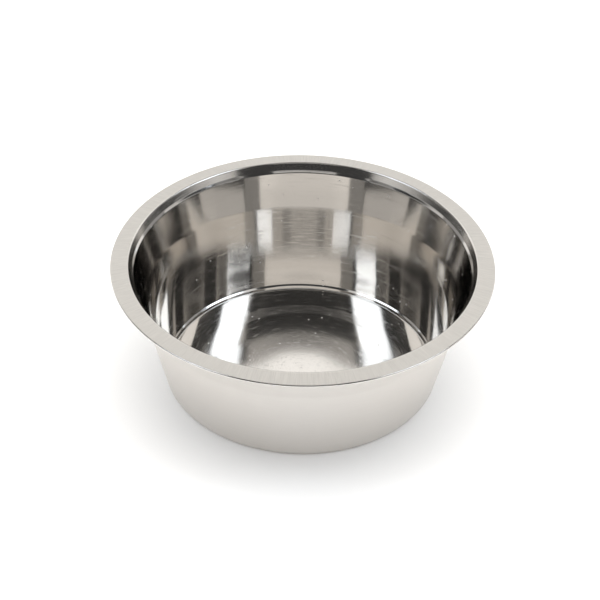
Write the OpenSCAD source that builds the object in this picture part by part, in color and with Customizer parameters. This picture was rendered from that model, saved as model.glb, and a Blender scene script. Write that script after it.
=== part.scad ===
// Stainless feeding bowl: one round pressing of thin sheet with a flat rim.
// The origin is the centre of the circle that the bowl stands on, and +Z is up.

/* [Overall] */
// Diameter across the outside of the rim
rim_d = 210; // [196:1:230]
// Height from the table to the highest line of the rim
bowl_h = 74; // [60:1:95]
// Thickness of the steel sheet
sheet_t = 0.5; // [0.4:0.05:0.8]

/* [Rim] */
// Width of the flat rim, from the inside of the collar to the outer edge
flange_w = 10.3; // [8:0.1:14]
// Angle by which the flat rim falls away towards its outer edge
flange_fall = 9.5; // [2:0.5:16]
// Radius inside the bend between the collar and the flat rim
rim_bend_r = 0.8; // [0.4:0.1:2]
// Gap inside the turned-under edge
hem_gap = 0.5; // [0.3:0.05:0.8]
// Length of the sheet's straight stretch under the flat rim
hem_w = 2.5; // [1:0.1:5]

/* [Wall] */
// Depth of the leaning collar below the highest line of the rim
collar_h = 4.1; // [3.5:0.1:9]
// Angle by which the collar leans in towards its foot
collar_lean = 28; // [5:1:35]
// Height of the small shoulder between the collar and the wall
shoulder_h = 1.3; // [1:0.1:3]
// Distance by which the shoulder steps in
shoulder_in = 1; // [0.6:0.1:3.5]
// Radius inside each of the shoulder's two bends
shoulder_bend_r = 0.7; // [0.3:0.1:1.2]

/* [Foot] */
// Diameter at which the foot's side, drawn straight on, meets the table
foot_d = 148; // [130:1:160]
// Height of the foot's side, up to the ledge that joins it to the wall
foot_h = 1.6; // [1.4:0.1:4]
// Angle by which the foot's side leans out
foot_lean = 14; // [5:1:25]
// Radius inside the bend between the flat base and the foot's side
foot_bend_r = 0.6; // [0.3:0.1:1]
// Distance by which the ledge steps out from the foot to the wall
ledge_w = 1; // [0.7:0.1:2.5]
// Height that the ledge gains over that distance
ledge_rise = 0.8; // [0.5:0.1:2]
// Radius inside each of the ledge's two bends
ledge_bend_r = 0.3; // [0.2:0.05:0.6]

/* [Hidden] */

// Largest turn between two neighbouring points of a bend, in degrees
arc_step = 9;
// Number of sides of the preview; the revolved form is truly round
$fn = 180;

function unit(v) = v / norm(v);
function left_of(v) = [-v[1], v[0]];
function turned(v, angle) = [
    v[0] * cos(angle) - v[1] * sin(angle),
    v[0] * sin(angle) + v[1] * cos(angle)
];
function turn(a, b) = atan2(a[0] * b[1] - a[1] * b[0], a * b);

// Points of one bend. The sheet arrives along a and leaves along b, and its lower face, drawn
// straight on, turns at corner. The line lies off to the left of the lower face, and r is the
// radius inside the bend, so the lower face has that radius where the sheet turns right.
function bend(corner, a, b, r, off) =
    let (angle = turn(a, b))
    let (side = sign(angle))
    let (lower_r = side > 0 ? r + sheet_t : r)
    let (start = corner - a * lower_r * tan(abs(angle) / 2))
    let (centre = start + left_of(a) * lower_r * side)
    let (steps = max(2, ceil(abs(angle) / arc_step)))
    [for (i = [0 : steps])
        centre - turned(left_of(a), angle * i / steps) * (lower_r - side * off) * side];

// Corner of the collar and the flat rim on the lower face, found from the centre of their bend,
// so that the upper face of the bend just reaches the full height.
crest_r = rim_bend_r + sheet_t;
collar_dir = [sin(collar_lean), cos(collar_lean)];
flange_dir = [cos(flange_fall), -sin(flange_fall)];
rim_bend_centre = [rim_d / 2 - flange_w + crest_r, bowl_h - crest_r];
half_turn = tan(abs(turn(collar_dir, flange_dir)) / 2);
rim_corner = rim_bend_centre + (left_of(collar_dir) + collar_dir * half_turn) * rim_bend_r;

// Corners of the lower face, from the middle of the base out to the collar
base_mid = [0, 0];
foot_corner = [foot_d / 2, 0];
foot_top = foot_corner + [foot_h * tan(foot_lean), foot_h];
wall_foot = foot_top + [ledge_w, ledge_rise];
collar_foot = rim_corner - collar_dir * (rim_corner[1] - bowl_h + collar_h) / collar_dir[1];
wall_top = collar_foot - [shoulder_in, shoulder_h];

base_dir = [1, 0];
foot_dir = [sin(foot_lean), cos(foot_lean)];
ledge_dir = unit(wall_foot - foot_top);
wall_dir = unit(wall_top - wall_foot);
shoulder_dir = unit(collar_foot - wall_top);

// The turned-under edge: a half circle round a centre below the flat rim, then a short run back
hem_inner_r = hem_gap / 2;
hem_outer_r = hem_inner_r + sheet_t;
hem_run = (rim_d / 2 - hem_outer_r - rim_corner[0] + left_of(flange_dir)[0] * hem_inner_r)
    / flange_dir[0];
hem_centre = rim_corner + flange_dir * hem_run - left_of(flange_dir) * hem_inner_r;
hem_steps = ceil(180 / arc_step);
function hem(r) = [for (i = [0 : hem_steps])
    hem_centre + turned(left_of(flange_dir), -180 * i / hem_steps) * r];
function hem_end(r) = hem_centre - left_of(flange_dir) * r - flange_dir * hem_w;

// One face of the sheet as a line of points: off is 0 below and the sheet's thickness above
function face(off) = concat(
    [base_mid + [0, off]],
    bend(foot_corner, base_dir, foot_dir, foot_bend_r, off),
    bend(foot_top, foot_dir, ledge_dir, ledge_bend_r, off),
    bend(wall_foot, ledge_dir, wall_dir, ledge_bend_r, off),
    bend(wall_top, wall_dir, shoulder_dir, shoulder_bend_r, off),
    bend(collar_foot, shoulder_dir, collar_dir, shoulder_bend_r, off),
    bend(rim_corner, collar_dir, flange_dir, rim_bend_r, off),
    hem(hem_inner_r + off),
    [hem_end(hem_inner_r + off)]
);

function backwards(points) = [for (i = [len(points) - 1 : -1 : 0]) points[i]];

// The bowl: the sheet's outline turned once round the upright axis
module bowl() {
    color("silver")
        rotate_extrude()
            polygon(concat(face(sheet_t), backwards(face(0))));
}

bowl();
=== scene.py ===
from collections import namedtuple
from math import atan2, ceil, cos, pi, radians, sin, tan

import bpy
from mathutils import Matrix, Vector


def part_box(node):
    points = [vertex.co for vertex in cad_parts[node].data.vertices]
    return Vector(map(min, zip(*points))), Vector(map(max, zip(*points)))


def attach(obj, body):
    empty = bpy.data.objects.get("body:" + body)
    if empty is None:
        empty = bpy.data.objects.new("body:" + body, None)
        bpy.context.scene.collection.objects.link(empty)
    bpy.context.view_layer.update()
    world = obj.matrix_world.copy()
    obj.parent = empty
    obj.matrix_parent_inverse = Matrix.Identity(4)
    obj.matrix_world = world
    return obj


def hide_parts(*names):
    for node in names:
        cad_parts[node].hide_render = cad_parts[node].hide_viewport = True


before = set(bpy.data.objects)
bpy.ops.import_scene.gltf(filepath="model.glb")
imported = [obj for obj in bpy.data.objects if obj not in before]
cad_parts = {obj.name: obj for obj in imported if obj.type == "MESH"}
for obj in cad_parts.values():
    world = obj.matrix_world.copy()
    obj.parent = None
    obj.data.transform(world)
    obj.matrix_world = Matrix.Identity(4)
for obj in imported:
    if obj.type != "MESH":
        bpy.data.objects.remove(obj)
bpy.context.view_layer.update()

bl_info = {
    "name": "Stainless Feeding Bowl",
    "version": (1, 0, 0),
    "blender": (4, 5, 0),
    "location": "3D View > Sidebar > Feeding Bowl",
    "description": "Spins a pressed stainless feeding bowl and sets it in a small studio",
    "category": "Add Mesh",
}

# The solid model's own box, before anything is dressed: lowest and highest corner, in metres
BOWL_LOW, BOWL_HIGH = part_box("bowl")
# The nearest of the box's four sides, so that the spun bowl stays inside the box all round
BOWL_R = min(-BOWL_LOW[0], -BOWL_LOW[1], BOWL_HIGH[0], BOWL_HIGH[1])

MM = 0.001
# Two points of the mesh that lie closer than this are one
SAME_PLACE = 0.002 * MM
# Distance from the axis at which the marks round the bowl are measured: the flat rim's middle
MARKS_R = 100 * MM
# The bowl's material slots, in their order
SATIN, POLISHED, BRUSHED = range(3)


def linear(hex_colour):
    """An sRGB hex colour as the linear red, green and blue that Blender's sockets hold."""
    parts = [int(hex_colour[i : i + 2], 16) / 255 for i in (1, 3, 5)]
    return [c / 12.92 if c <= 0.04045 else ((c + 0.055) / 1.055) ** 2.4 for c in parts]


def with_alpha(colour):
    """The four channels of a colour socket, opaque."""
    return (*colour[:3], 1.0)


def length(name, description, default_mm):
    """A length that the sidebar shows in the scene's own unit, with its default in millimetres."""
    return bpy.props.FloatProperty(
        name=name,
        description=description,
        default=default_mm * MM,
        min=0.0,
        precision=5,
        subtype="DISTANCE",
        unit="LENGTH",
    )


def number(name, description, default):
    """A plain number, zero or more."""
    return bpy.props.FloatProperty(name=name, description=description, default=default, min=0.0)


def angle(name, description, default_degrees):
    """An angle that the sidebar shows in degrees."""
    return bpy.props.FloatProperty(
        name=name,
        description=description,
        default=radians(default_degrees),
        subtype="ANGLE",
        unit="ROTATION",
    )


def colour(name, description, hex_colour):
    """A colour that the sidebar shows as a swatch, with its default as an sRGB hex value."""
    return bpy.props.FloatVectorProperty(
        name=name,
        description=description,
        default=linear(hex_colour),
        min=0.0,
        max=1.0,
        size=3,
        subtype="COLOR",
    )


class BowlSizes(bpy.types.PropertyGroup):
    """Sizes of the pressed sheet. The rim's diameter and the height come from the solid model."""

    rim_d: length("Rim Diameter", "Across the outside of the rim", 2 * BOWL_R / MM)
    bowl_h: length(
        "Height", "From the table to the crest of the rim", (BOWL_HIGH[2] - BOWL_LOW[2]) / MM
    )
    sheet_t: length("Sheet", "Thickness of the steel", 0.5)

    flange_w: length("Rim Width", "From the inside of the collar to the outer edge", 10.3)
    flange_fall: angle("Rim Fall", "How far the flat rim drops towards its edge", 9.5)
    rim_bend_r: length("Rim Bend", "Radius inside the bend at the top of the collar", 0.8)
    hem_gap: length("Hem Gap", "Gap inside the turned-under edge", 0.5)
    hem_w: length("Hem Width", "Straight stretch of sheet under the flat rim", 2.5)

    collar_h: length("Collar Height", "From the shoulder to the crest of the rim", 4.1)
    collar_lean: angle("Collar Lean", "How far the collar leans in towards its foot", 28.0)
    shoulder_h: length("Shoulder Height", "Height of the small shoulder below the collar", 1.3)
    shoulder_in: length("Shoulder Step", "How far the shoulder steps in", 1.0)
    shoulder_bend_r: length("Shoulder Bends", "Radius inside the shoulder's two bends", 0.7)

    # The ring is too shallow to measure: its sizes are a guess from the wall's reflections
    ring_h: length("Ring Height", "Faint ring where two strokes of the press met", 49.0)
    ring_from: length("Ring Start", "Height from which the wall curves towards the ring", 22.0)
    ring_turn: angle("Ring Curve", "How much steeper the wall stands just below the ring", 2.3)
    ring_bend_r: length("Ring Bend", "Radius of the ring itself", 15.0)

    foot_d: length("Foot Diameter", "Where the foot's side, drawn on, meets the table", 148.0)
    foot_h: length("Foot Height", "Up to the ledge below the wall", 1.6)
    foot_lean: angle("Foot Lean", "How far the foot's side leans out", 14.0)
    foot_bend_r: length("Foot Bend", "Radius inside the bend between base and foot", 0.6)
    ledge_w: length("Ledge Width", "How far the ledge steps out from the foot", 1.0)
    ledge_rise: length("Ledge Rise", "Height that the ledge gains", 0.8)
    ledge_bend_r: length("Ledge Bends", "Radius inside the ledge's two bends", 0.3)

    sides: bpy.props.IntProperty(
        name="Sides", description="Steps of the spin", default=360, min=48
    )
    bend_step: angle("Bend Step", "Largest turn between two rings of a bend", 6.0)
    hold: length("Holding Edge", "Stretch beside each bend that keeps the flats flat", 0.25)


class BowlFinish(bpy.types.PropertyGroup):
    """Colours and marks of the steel's finishes."""

    mirror_steel: colour("Polished Steel", "Inside of the bowl", "#DDDAD6")
    rim_steel: colour("Brushed Rim", "Flat rim", "#D7D4CF")
    satin_steel: colour("Satin Steel", "Outside of the wall", "#DEDAD5")
    dust: colour("Dust", "Specks on the polish", "#BCB8B3")

    # Real polishing and press marks lie about 0.05 mm apart, under a tenth of a pixel of the
    # picture, so they are drawn about ten times as coarse
    polish_gap: length("Polish Lines", "Spacing of the lines that the buff left", 0.5)
    polish_length: length("Polish Line Length", "How far such a line runs", 66.7)
    brush_gap: length("Brush Marks", "Spacing of the marks across the rim", 0.45)
    brush_length: length("Brush Mark Length", "How far such a mark runs", 8.3)
    grain_gap: length("Satin Grain", "Spacing of the grain that the press left", 0.5)
    grain_length: length("Satin Grain Length", "How far the grain runs", 16.7)
    mark_depth: length("Mark Depth", "Depth of the brush marks and the satin grain", 0.01)
    polish_depth: length("Polish Depth", "Depth of the polishing lines and swells", 0.02)

    swell_gap: length("Swells", "Width of the polish's slow waves", 16.7)
    swell_length: length("Swell Length", "How far a wave runs round the bowl", 83.3)
    scuff_gap: length("Scuffs", "Spacing of the fine scuffs on the polish", 1.2)
    scuff_length: length("Scuff Length", "How far a scuff runs", 14.3)
    speck_gap: length("Specks", "Size of the cells that may hold a speck", 4.0)
    speck_r: length("Speck Radius", "Radius of a speck", 0.44)
    speck_share: number("Speck Share", "Share of the cells that hold a speck", 0.15)

    # How the polish changes over the floor, and the dish, are guesses from its reflections
    bright_r: length("Bright Middle", "Radius of the floor's brightest polish", 6.0)
    haze_from: length("Haze Start", "Radius from which the floor is hazy", 20.0)
    haze_to: length("Haze End", "Radius up to which the floor is hazy", 36.0)
    band_r: length("Band Radius", "Middle of the band of coarser polish", 54.0)
    band_w: length("Band Width", "Width of that band", 6.0)
    band_fade: length("Band Fade", "Width over which the band fades on each side", 1.5)
    dish_depth: length("Dish Depth", "How far the floor's middle sinks", 1.15)
    dish_from: length("Dish Start", "Radius of the dish's flat middle", 2.0)
    dish_r: length("Dish Radius", "Radius up to which the floor sinks", 44.0)


class StudioSetup(bpy.types.PropertyGroup):
    """Camera and light of the photograph."""

    lens: number("Lens", "Focal length in millimetres", 185.1)
    distance: length("Distance", "From the camera to the rim's centre", 1680.0)
    elevation: angle("Elevation", "Height of the camera above the horizon", 36.79)
    roll: angle("Roll", "Turn of the picture, clockwise", 1.127)
    lip_h: length("Lip Height", "Height of the rim's outer edge", 71.9)
    aim_below: length("Aim Below", "How far below the rim's centre the camera aims", 18.81)
    aim_left: length("Aim Left", "How far left of the rim's centre the camera aims", 1.16)
    table_w: length("Table Width", "Side of the square table", 8000.0)
    table_gap: length("Table Gap", "Gap that keeps the table off the base", 0.1)
    table_glow: number("Table Glow", "Light that the table gets from all round", 0.12)
    table_colour: colour("Table", "Pale table top", "#F5F5F5")
    light_colour: colour("Light", "Cloth of the soft boxes", "#EEF6FF")
    paper_colour: colour("Paper", "Lit backdrop and side papers", "#FFFDFA")
    room_colour: colour("Room", "Dim room round the studio", "#3F3F3F")


# Outline of the sheet


def unit_vector(x, z):
    """A direction in the plane of the outline, where X points out from the axis and Z up."""
    return Vector((x, z)).normalized()


def left_of(direction):
    """The direction a quarter turn to the left."""
    return Vector((-direction.y, direction.x))


def turn_between(before, after):
    """Signed angle from one direction to the next, positive to the left."""
    return atan2(before.x * after.y - before.y * after.x, before.dot(after))


class Outline:
    """The sheet's lower face, drawn as a chain of edges in the XZ plane with one end selected."""

    def __init__(self, start, sizes):
        self.sizes = sizes
        self.place = Vector(start)
        bpy.ops.mesh.primitive_plane_add(size=MM, location=(start[0], 0, start[1]))
        bpy.ops.object.mode_set(mode="EDIT")
        bpy.ops.mesh.merge(type="CENTER")

    def straight_to(self, point):
        """Extrudes the end of the chain along a straight line."""
        step = Vector(point) - self.place
        if step.length < SAME_PLACE:
            return
        bpy.ops.mesh.extrude_region_move(TRANSFORM_OT_translate={"value": (step.x, 0, step.y)})
        self.place = Vector(point)

    def flat_to(self, point):
        """Draws a flat stretch with a holding edge at each end, so that smooth shading leaves it
        flat."""
        run = Vector(point) - self.place
        hold = run.normalized() * min(self.sizes.hold, run.length / 4)
        if self.place.x > self.sizes.hold:
            self.straight_to(self.place + hold)
        self.straight_to(Vector(point) - hold)
        self.straight_to(point)

    def arc(self, centre, turn, least_steps=2):
        """Spins the end of the chain about a centre, to the left for a positive turn. Spin's own
        angle runs the other way round its axis, so the axis points along Y for a turn left."""
        steps = max(least_steps, ceil(abs(turn) / self.sizes.bend_step))
        bpy.ops.mesh.spin(
            steps=steps,
            angle=abs(turn),
            center=(centre.x, 0, centre.y),
            axis=(0, 1 if turn > 0 else -1, 0),
        )
        self.place = centre + Matrix.Rotation(turn, 2) @ (self.place - centre)

    def bend(self, corner, before, after, inside_r):
        """Runs up to a corner and rounds it. The sheet lies to the left of its lower face, so its
        thickness adds to the inside radius of a left turn."""
        turn = turn_between(before, after)
        radius = inside_r + self.sizes.sheet_t if turn > 0 else inside_r
        side = 1 if turn > 0 else -1
        start = corner - before * radius * tan(abs(turn) / 2)
        self.flat_to(start)
        self.arc(start + left_of(before) * radius * side, turn)


def draw_outline(s):
    """The lower face of the sheet, from the middle of the base out to the turned-under edge.
    Returns the corner between the collar and the flat rim."""
    collar_dir = unit_vector(sin(s.collar_lean), cos(s.collar_lean))
    flange_dir = unit_vector(cos(s.flange_fall), -sin(s.flange_fall))
    crest_r = s.rim_bend_r + s.sheet_t
    bend_centre = Vector((s.rim_d / 2 - s.flange_w + crest_r, s.bowl_h - crest_r))
    half_turn = tan(abs(turn_between(collar_dir, flange_dir)) / 2)
    rim_corner = bend_centre + (left_of(collar_dir) + collar_dir * half_turn) * s.rim_bend_r

    foot_corner = Vector((s.foot_d / 2, 0))
    foot_top = foot_corner + Vector((s.foot_h * tan(s.foot_lean), s.foot_h))
    wall_foot = foot_top + Vector((s.ledge_w, s.ledge_rise))
    collar_foot = rim_corner - collar_dir * (rim_corner.y - s.bowl_h + s.collar_h) / collar_dir.y
    wall_top = collar_foot - Vector((s.shoulder_in, s.shoulder_h))

    base_dir = unit_vector(1, 0)
    foot_dir = unit_vector(sin(s.foot_lean), cos(s.foot_lean))
    ledge_dir = (wall_foot - foot_top).normalized()
    wall_dir = (wall_top - wall_foot).normalized()
    shoulder_dir = (collar_foot - wall_top).normalized()

    hem_r = s.hem_gap / 2
    hem_run = s.rim_d / 2 - hem_r - s.sheet_t - rim_corner.x + left_of(flange_dir).x * hem_r
    hem_start = rim_corner + flange_dir * hem_run / flange_dir.x
    hem_centre = hem_start - left_of(flange_dir) * hem_r

    outline = Outline((0, 0), s)
    outline.bend(foot_corner, base_dir, foot_dir, s.foot_bend_r)
    outline.bend(foot_top, foot_dir, ledge_dir, s.ledge_bend_r)
    outline.bend(wall_foot, ledge_dir, wall_dir, s.ledge_bend_r)
    outline.flat_to(wall_foot + wall_dir * (s.ring_from - wall_foot.y) / wall_dir.y)

    # The wall steepens slowly up to the ring, and there turns back towards the shoulder
    slack_r = (s.ring_h - s.ring_from) / wall_dir.y / s.ring_turn
    outline.arc(outline.place + left_of(wall_dir) * slack_r, s.ring_turn, least_steps=12)
    steep_dir = Matrix.Rotation(s.ring_turn, 2) @ wall_dir
    turn_back = turn_between(steep_dir, wall_top - outline.place)
    outline.arc(outline.place - left_of(steep_dir) * s.ring_bend_r, turn_back)
    upper_dir = (wall_top - outline.place).normalized()

    outline.bend(wall_top, upper_dir, shoulder_dir, s.shoulder_bend_r)
    outline.bend(collar_foot, shoulder_dir, collar_dir, s.shoulder_bend_r)
    outline.bend(rim_corner, collar_dir, flange_dir, s.rim_bend_r)
    outline.flat_to(hem_start)
    outline.arc(hem_centre, -pi)
    outline.flat_to(outline.place - flange_dir * s.hem_w)
    return rim_corner


# Node helpers


def add_node(tree, kind, settings=None, **inputs):
    """Adds a node, sets its properties, and sets or links its inputs. An input is a value or an
    output socket, and goes by its name, or by in and its number where several share a name."""
    node = tree.nodes.new(kind)
    for key, value in (settings or {}).items():
        setattr(node, key, value)
    for key, value in inputs.items():
        numbered = key.startswith("in") and key[2:].isdigit()
        socket = node.inputs[int(key[2:]) if numbered else key.replace("_", " ")]
        if isinstance(value, bpy.types.NodeSocket):
            tree.links.new(value, socket)
        else:
            socket.default_value = value
    return node


def new_material(name):
    """A new node material and its empty tree."""
    material = bpy.data.materials.new(name)
    material.use_nodes = True
    material.node_tree.nodes.clear()
    return material, material.node_tree


# Where a point of the sheet lies: the direction out from the axis, the distance along the sheet's
# outline, and the distance from the axis
Around = namedtuple("Around", "outward along radius")


def round_the_axis(tree):
    """The object's coordinates, read round the upright axis. Height and distance from the axis
    together grow steadily along the outline, on the floor, the wall and the rim alike."""
    place = add_node(tree, "ShaderNodeTexCoord").outputs["Object"]
    parts = add_node(tree, "ShaderNodeSeparateXYZ", Vector=place)
    level = add_node(
        tree, "ShaderNodeCombineXYZ", X=parts.outputs["X"], Y=parts.outputs["Y"]
    ).outputs[0]
    outward = add_node(tree, "ShaderNodeVectorMath", {"operation": "NORMALIZE"}, in0=level)
    radius = add_node(
        tree, "ShaderNodeVectorMath", {"operation": "LENGTH"}, in0=level
    ).outputs["Value"]
    along = add_node(
        tree, "ShaderNodeMath", {"operation": "ADD"}, in0=radius, in1=parts.outputs["Z"]
    )
    return Around(outward.outputs[0], along.outputs[0], radius)


def stretched_noise(tree, around, round_length, across_length, detail):
    """Noise with grains of one length round the bowl, measured at the flat rim, and another
    across it."""
    ringed = add_node(
        tree,
        "ShaderNodeVectorMath",
        {"operation": "SCALE"},
        in0=around.outward,
        Scale=MARKS_R / round_length,
    )
    lengthwise = add_node(
        tree, "ShaderNodeMath", {"operation": "DIVIDE"}, in0=around.along, in1=across_length
    )
    lift = add_node(tree, "ShaderNodeCombineXYZ", Z=lengthwise.outputs[0])
    where = add_node(
        tree,
        "ShaderNodeVectorMath",
        {"operation": "ADD"},
        in0=ringed.outputs[0],
        in1=lift.outputs[0],
    )
    noise = add_node(
        tree, "ShaderNodeTexNoise", Vector=where.outputs[0], Scale=1.0, Detail=detail
    )
    return noise.outputs["Fac"]


def stepped(tree, value, top, *stops):
    """A number that follows a list of stops: a value up to the top, and the number there."""
    where = add_node(tree, "ShaderNodeMath", {"operation": "DIVIDE"}, in0=value, in1=top)
    ramp = add_node(tree, "ShaderNodeValToRGB", Fac=where.outputs[0])
    points = ramp.color_ramp.elements
    while len(points) < len(stops):
        points.new(0.5)
    for point, (at, level) in zip(points, stops):
        point.position = at / top
        point.color = (level, level, level, 1.0)
    return ramp.outputs["Color"]


def tinted(tree, base, factor, low, high):
    """The base colour with its brightness varied between two shares by a factor."""
    mix = add_node(
        tree,
        "ShaderNodeMix",
        {"data_type": "RGBA"},
        Factor=factor,
        in6=with_alpha([c * low for c in base]),
        in7=with_alpha([min(1.0, c * high) for c in base]),
    )
    return mix.outputs[2]


def specks(tree, finish):
    """1 at small scattered dots, each in a cell of its own, and 0 between them."""
    place = add_node(tree, "ShaderNodeTexCoord").outputs["Object"]
    cells = add_node(tree, "ShaderNodeTexVoronoi", Vector=place, Scale=1 / finish.speck_gap)
    near = add_node(
        tree,
        "ShaderNodeMath",
        {"operation": "LESS_THAN"},
        in0=cells.outputs["Distance"],
        in1=finish.speck_r / finish.speck_gap,
    )
    chance = add_node(tree, "ShaderNodeSeparateColor", Color=cells.outputs["Color"])
    chosen = add_node(
        tree,
        "ShaderNodeMath",
        {"operation": "GREATER_THAN"},
        in0=chance.outputs[0],
        in1=1 - finish.speck_share,
    )
    both = add_node(
        tree,
        "ShaderNodeMath",
        {"operation": "MULTIPLY"},
        in0=near.outputs[0],
        in1=chosen.outputs[0],
    )
    return both.outputs[0]


def polish_roughness(tree, radius, finish, sizes):
    """Roughness of the polish by the distance from the axis: bright in the floor's middle, hazy
    round it, coarser in one band, bright again up the wall, and duller on the shoulder and the
    collar, where the buff doesn't reach as well."""
    band_in = finish.band_r - finish.band_w / 2
    band_out = finish.band_r + finish.band_w / 2
    shoulder_r = sizes.rim_d / 2 - sizes.flange_w - sizes.collar_h * tan(sizes.collar_lean)
    return stepped(
        tree,
        radius,
        sizes.rim_d / 2,
        (finish.bright_r, 0.04),
        (finish.haze_from, 0.1),
        (finish.haze_to, 0.12),
        (band_in - finish.band_fade, 0.08),
        (band_in, 0.16),
        (band_out, 0.16),
        (band_out + finish.band_fade, 0.065),
        (shoulder_r, 0.075),
        (shoulder_r + sizes.shoulder_bend_r, 0.15),
    )


def polished_steel(finish, sizes):
    """Stainless steel polished on a turning buff, inside the bowl and on its lip. The buff leaves
    faint lines and slow waves round the bowl, so the eye gets a mirror that smears what it shows
    across them. Use adds fine scuffs, which blur it in streaks, and dust lies on it in specks."""
    material, tree = new_material("Polished stainless steel")
    around = round_the_axis(tree)
    lines = stretched_noise(tree, around, finish.polish_length, finish.polish_gap, detail=3.0)
    swells = stretched_noise(tree, around, finish.swell_length, finish.swell_gap, detail=1.0)
    scuffs = stretched_noise(tree, around, finish.scuff_length, finish.scuff_gap, detail=4.0)
    base = tinted(tree, finish.mirror_steel, lines, low=0.95, high=1.03)

    lined = add_node(
        tree, "ShaderNodeBump", Strength=0.12, Distance=finish.polish_depth, Height=lines
    )
    waved = add_node(
        tree,
        "ShaderNodeBump",
        Strength=1.0,
        Distance=finish.polish_depth,
        Height=swells,
        Normal=lined.outputs[0],
    )
    # The dish is bump because the sheet has no room to sink between its base and the table
    sunk = add_node(
        tree,
        "ShaderNodeMapRange",
        {"interpolation_type": "SMOOTHSTEP"},
        Value=around.radius,
        From_Min=finish.dish_from,
        From_Max=finish.dish_r,
    )
    dished = add_node(
        tree,
        "ShaderNodeBump",
        Strength=1.0,
        Distance=finish.dish_depth,
        Height=sunk.outputs["Result"],
        Normal=waved.outputs[0],
    )

    # The noise lies about its middle, 0.5, so only its peaks are scuffs, which add up to 0.1 to
    # the roughness
    scuffed = add_node(
        tree,
        "ShaderNodeMapRange",
        Value=scuffs,
        From_Min=0.56,
        From_Max=0.7,
        To_Max=0.1,
    )
    worn = add_node(
        tree,
        "ShaderNodeMath",
        {"operation": "ADD"},
        in0=polish_roughness(tree, around.radius, finish, sizes),
        in1=scuffed.outputs["Result"],
    )

    # A speck of dust is rough and isn't metal
    speck = specks(tree, finish)
    dusty = add_node(
        tree,
        "ShaderNodeMix",
        {"data_type": "RGBA"},
        Factor=speck,
        in6=base,
        in7=with_alpha(finish.dust),
    )
    rough = add_node(
        tree, "ShaderNodeMath", {"operation": "MAXIMUM"}, in0=worn.outputs[0], in1=speck
    )
    metal = add_node(tree, "ShaderNodeMath", {"operation": "SUBTRACT"}, in0=1.0, in1=speck)
    tangent = add_node(tree, "ShaderNodeTangent", {"direction_type": "RADIAL", "axis": "Z"})
    shader = add_node(
        tree,
        "ShaderNodeBsdfPrincipled",
        Base_Color=dusty.outputs[2],
        Metallic=metal.outputs[0],
        Roughness=rough.outputs[0],
        Anisotropic=0.65,
        Anisotropic_Rotation=0.25,
        Normal=dished.outputs[0],
        Tangent=tangent.outputs[0],
    )
    add_node(tree, "ShaderNodeOutputMaterial", Surface=shader.outputs[0])
    return material


def brushed_rim(finish):
    """Stainless steel brushed across the flat rim, from the collar out, with a stiff wheel. The
    fine marks give it a soft sheen that spreads round the bowl and hides what it reflects."""
    material, tree = new_material("Cross-brushed stainless steel")
    around = round_the_axis(tree)
    marks = stretched_noise(tree, around, finish.brush_gap, finish.brush_length, detail=2.0)
    base = tinted(tree, finish.rim_steel, marks, low=0.8, high=1.12)
    bump = add_node(
        tree, "ShaderNodeBump", Strength=0.25, Distance=finish.mark_depth, Height=marks
    )
    tangent = add_node(tree, "ShaderNodeTangent", {"direction_type": "RADIAL", "axis": "Z"})
    shader = add_node(
        tree,
        "ShaderNodeBsdfPrincipled",
        Base_Color=base,
        Metallic=1.0,
        Roughness=0.32,
        Anisotropic=0.6,
        Normal=bump.outputs[0],
        Tangent=tangent.outputs[0],
    )
    add_node(tree, "ShaderNodeOutputMaterial", Surface=shader.outputs[0])
    return material


def satin_steel(finish):
    """Stainless steel left satin by the press and never polished, outside and underneath. Its
    grain scatters the light, so it shows only soft light and dark and no picture of the room."""
    material, tree = new_material("Satin stainless steel")
    around = round_the_axis(tree)
    grain = stretched_noise(tree, around, finish.grain_length, finish.grain_gap, detail=3.0)
    base = tinted(tree, finish.satin_steel, grain, low=0.97, high=1.03)
    bump = add_node(
        tree, "ShaderNodeBump", Strength=0.1, Distance=finish.mark_depth, Height=grain
    )
    shader = add_node(
        tree,
        "ShaderNodeBsdfPrincipled",
        Base_Color=base,
        Metallic=1.0,
        Roughness=0.42,
        Normal=bump.outputs[0],
    )
    add_node(tree, "ShaderNodeOutputMaterial", Surface=shader.outputs[0])
    return material


def matt_table(setup):
    """White laminate with a matt face, lit evenly. It scatters all its light, and the little glow
    of its own stands for light that the real table gets from all round."""
    material, tree = new_material("Matt white table")
    shader = add_node(
        tree,
        "ShaderNodeBsdfPrincipled",
        Base_Color=with_alpha(setup.table_colour),
        Roughness=0.9,
        Emission_Strength=setup.table_glow,
    )
    add_node(tree, "ShaderNodeOutputMaterial", Surface=shader.outputs[0])
    return material


# Pieces


def deselect_everything():
    """Leaves nothing selected, so that an operator acts on the new piece alone."""
    if bpy.context.mode != "OBJECT":
        bpy.ops.object.mode_set(mode="OBJECT")
    bpy.ops.object.select_all(action="DESELECT")


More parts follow.
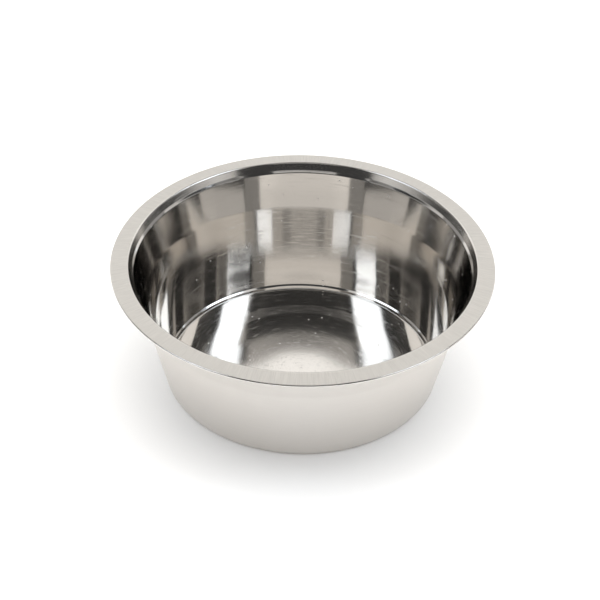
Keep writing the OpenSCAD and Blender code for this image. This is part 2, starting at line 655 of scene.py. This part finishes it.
class FEEDING_BOWL_OT_add_bowl(bpy.types.Operator):
    """Draw the sheet's outline, spin it into a bowl, give it its thickness and its finishes"""

    bl_idname = "feeding_bowl.add_bowl"
    bl_label = "Add Bowl"
    bl_options = {"REGISTER", "UNDO"}

    def execute(self, context):
        s = context.scene.bowl_sizes
        deselect_everything()
        rim_corner = draw_outline(s)
        bpy.ops.mesh.select_all(action="SELECT")
        bpy.ops.mesh.spin(steps=s.sides, angle=2 * pi, center=(0, 0, 0), axis=(0, 0, 1))
        bpy.ops.mesh.select_all(action="SELECT")
        bpy.ops.mesh.remove_doubles(threshold=SAME_PLACE)
        bpy.ops.mesh.normals_make_consistent(inside=False)
        bpy.ops.object.mode_set(mode="OBJECT")
        bowl = context.object
        bowl.name = bowl.data.name = "pressed_bowl"

        base = min(bowl.data.polygons, key=lambda face: face.center.length)
        if base.normal.z > 0:
            bowl.data.flip_normals()
        thicken = bowl.modifiers.new("Sheet", "SOLIDIFY")
        thicken.thickness = s.sheet_t
        thicken.offset = -1.0
        thicken.use_even_offset = True
        bpy.ops.object.modifier_apply(modifier=thicken.name)
        bpy.ops.object.transform_apply(location=True, rotation=True, scale=True)
        bpy.ops.object.shade_smooth()

        finish = context.scene.bowl_finish
        for material in (satin_steel(finish), polished_steel(finish, s), brushed_rim(finish)):
            bowl.data.materials.append(material)
        paint_zones(bowl.data, rim_corner, s.rim_d / 2 - s.hem_gap / 2 - s.sheet_t)
        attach(bowl, "root")
        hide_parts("bowl")
        return {"FINISHED"}


def paint_zones(mesh, rim_corner, lip_r):
    """Satin outside, polished inside and at the lip, and brushed on the flat rim, by each face's
    place."""
    for face in mesh.polygons:
        out = Vector((face.center.x, face.center.y)).length
        on_rim = out > rim_corner.x
        faces_in = face.normal.x * face.center.x + face.normal.y * face.center.y < 0
        faces_up = face.normal.z > 0.2
        lies_flat = face.normal.z > 0.9
        if on_rim and lies_flat:
            face.material_index = BRUSHED
        elif faces_in or out > lip_r or (faces_up and not on_rim):
            face.material_index = POLISHED
        else:
            face.material_index = SATIN


# Studio: soft boxes and papers, in metres. Their places and radiances were chosen so that what
# the bowl reflects falls where the photograph shows it.

# The backdrop gets brighter upwards: sheets of light that end at one top edge, each with the
# height that it starts from and its radiance
BACKDROP_TOP = 3.6
BACKDROP_W = 5.2
BACKDROP_Y = 1.7
BACKDROP_STEP = 0.01
BACKDROP = (
    ("Backdrop", 0.0, 0.92),
    ("Backdrop glow", 0.96, 0.1),
    ("Backdrop top", 1.3, 0.15),
)

# Upright panels that face straight across the bowl: distance beside the axis, place along Y,
# height of the middle, width, height and radiance. The two tall boxes are the bright bands on
# the floor and the wall; the papers stand on both sides alike.
LEFT_BOX = ("Left box", -2.0, -0.37, 3.35, 1.3, 3.3, 2.5)
RIGHT_BOX = ("Right box", 2.0, -0.285, 3.22, 1.13, 3.55, 3.0)
SIDE_PAPERS = (
    ("Side paper", 2.0, -0.85, 0.735, 2.6, 0.47, 0.65),
    ("Low gap", 2.1, 0.94, 1.2, 0.86, 1.9, 0.3),
    ("High gap", 2.1, 0.94, 2.65, 0.86, 1.0, 0.7),
    ("Rear high", 2.05, -1.5, 3.3, 1.2, 2.2, 0.7),
    ("Rear wall", 2.1, -1.6, 1.4, 1.1, 1.2, 0.22),
)

# Lights above and behind the camera: the centre, the point that it faces, width, height and
# radiance. The fill lights the table and the outside, and shows in no reflection.
OVERHEAD = ("Overhead", (0, 0, 3.5), (0, 0, 0), 2.4, 1.7, 0.5)
REAR_BOX = ("Rear box", (0, -2.6, 3.0), (0, 0, 0.2), 2.4, 1.3, 0.5)
FILL = ("Fill", (0, 0, 3.6), (0, 0, 0), 5.0, 5.0, 2.1)


def add_soft_box(name, centre, toward, width, height, radiance, colour_value):
    """A rectangular soft box that faces a point. Its power follows from its cloth's radiance."""
    data = bpy.data.lights.new(name, "AREA")
    data.shape = "RECTANGLE"
    data.size, data.size_y = width, height
    data.energy = radiance * pi * width * height
    data.color = colour_value
    box = bpy.data.objects.new(name, data)
    bpy.context.scene.collection.objects.link(box)
    box.location = centre
    box.rotation_euler = (Vector(toward) - Vector(centre)).to_track_quat("-Z", "Y").to_euler()
    box.visible_camera = False
    return box


def add_side_panel(name, x, y, z, width, height, radiance, colour_value):
    """An upright soft box or paper beside the bowl."""
    return add_soft_box(name, (x, y, z), (0, y, z), width, height, radiance, colour_value)


class FEEDING_BOWL_OT_add_studio(bpy.types.Operator):
    """Add the pale table, the soft boxes and the camera of the photograph"""

    bl_idname = "feeding_bowl.add_studio"
    bl_label = "Add Studio"
    bl_options = {"REGISTER", "UNDO"}

    def execute(self, context):
        scene = context.scene
        setup = scene.bowl_studio
        deselect_everything()
        bpy.ops.mesh.primitive_plane_add(size=setup.table_w, location=(0, 0, -setup.table_gap))
        table = context.object
        table.name = table.data.name = "Table"
        table.data.materials.append(matt_table(setup))

        light, paper = setup.light_colour, setup.paper_colour
        for row, (name, from_z, radiance) in enumerate(BACKDROP):
            y = BACKDROP_Y + BACKDROP_STEP * row
            z = (from_z + BACKDROP_TOP) / 2
            height = BACKDROP_TOP - from_z
            add_soft_box(name, (0, y, z), (0, 0, z), BACKDROP_W, height, radiance, paper)
        add_side_panel(*LEFT_BOX, light)
        add_side_panel(*RIGHT_BOX, light)
        add_soft_box(*OVERHEAD, paper)
        add_soft_box(*REAR_BOX, paper)
        for side in (-1, 1):
            for name, x, *rest in SIDE_PAPERS:
                add_side_panel(name, side * x, *rest, paper)
        add_soft_box(*FILL, paper).visible_glossy = False

        room = bpy.data.worlds.new("Dim studio")
        room.use_nodes = True
        background = room.node_tree.nodes["Background"]
        background.inputs["Color"].default_value = with_alpha(setup.room_colour)
        scene.world = room

        rim = Vector((0, 0, setup.lip_h))
        tilt = setup.elevation
        away = Vector((0, cos(tilt), -sin(tilt)))
        upward = Vector((0, sin(tilt), cos(tilt)))
        camera = bpy.data.objects.new("Camera", bpy.data.cameras.new("Camera"))
        scene.collection.objects.link(camera)
        camera.data.lens = setup.lens
        camera.data.sensor_width = 36.0
        camera.data.clip_start = 0.05
        camera.data.clip_end = 50.0
        camera.location = rim - away * setup.distance
        target = rim - upward * setup.aim_below - Vector((1, 0, 0)) * setup.aim_left
        look = (target - camera.location).to_track_quat("-Z", "Y").to_matrix()
        camera.rotation_euler = (look @ Matrix.Rotation(setup.roll, 3, "Z")).to_euler()
        scene.camera = camera
        scene.view_settings.view_transform = "Standard"
        return {"FINISHED"}


class FEEDING_BOWL_PT_sidebar(bpy.types.Panel):
    """Lists the bowl's sizes and finishes, and the buttons that build it"""

    bl_idname = "FEEDING_BOWL_PT_sidebar"
    bl_label = "Feeding Bowl"
    bl_space_type = "VIEW_3D"
    bl_region_type = "UI"
    bl_category = "Feeding Bowl"

    def draw(self, context):
        for group, operator in (
            (context.scene.bowl_sizes, FEEDING_BOWL_OT_add_bowl.bl_idname),
            (context.scene.bowl_finish, None),
            (context.scene.bowl_studio, FEEDING_BOWL_OT_add_studio.bl_idname),
        ):
            column = self.layout.column(align=True)
            for name in group.__annotations__:
                column.prop(group, name)
            if operator:
                column.operator(operator)


CLASSES = (
    BowlSizes,
    BowlFinish,
    StudioSetup,
    FEEDING_BOWL_OT_add_bowl,
    FEEDING_BOWL_OT_add_studio,
    FEEDING_BOWL_PT_sidebar,
)


def register():
    for cls in CLASSES:
        bpy.utils.register_class(cls)
    bpy.types.Scene.bowl_sizes = bpy.props.PointerProperty(type=BowlSizes)
    bpy.types.Scene.bowl_finish = bpy.props.PointerProperty(type=BowlFinish)
    bpy.types.Scene.bowl_studio = bpy.props.PointerProperty(type=StudioSetup)


def unregister():
    del bpy.types.Scene.bowl_studio
    del bpy.types.Scene.bowl_finish
    del bpy.types.Scene.bowl_sizes
    for cls in reversed(CLASSES):
        bpy.utils.unregister_class(cls)


def main():
    register()
    bpy.ops.feeding_bowl.add_bowl()
    bpy.ops.feeding_bowl.add_studio()


if __name__ == "__main__":
    main()
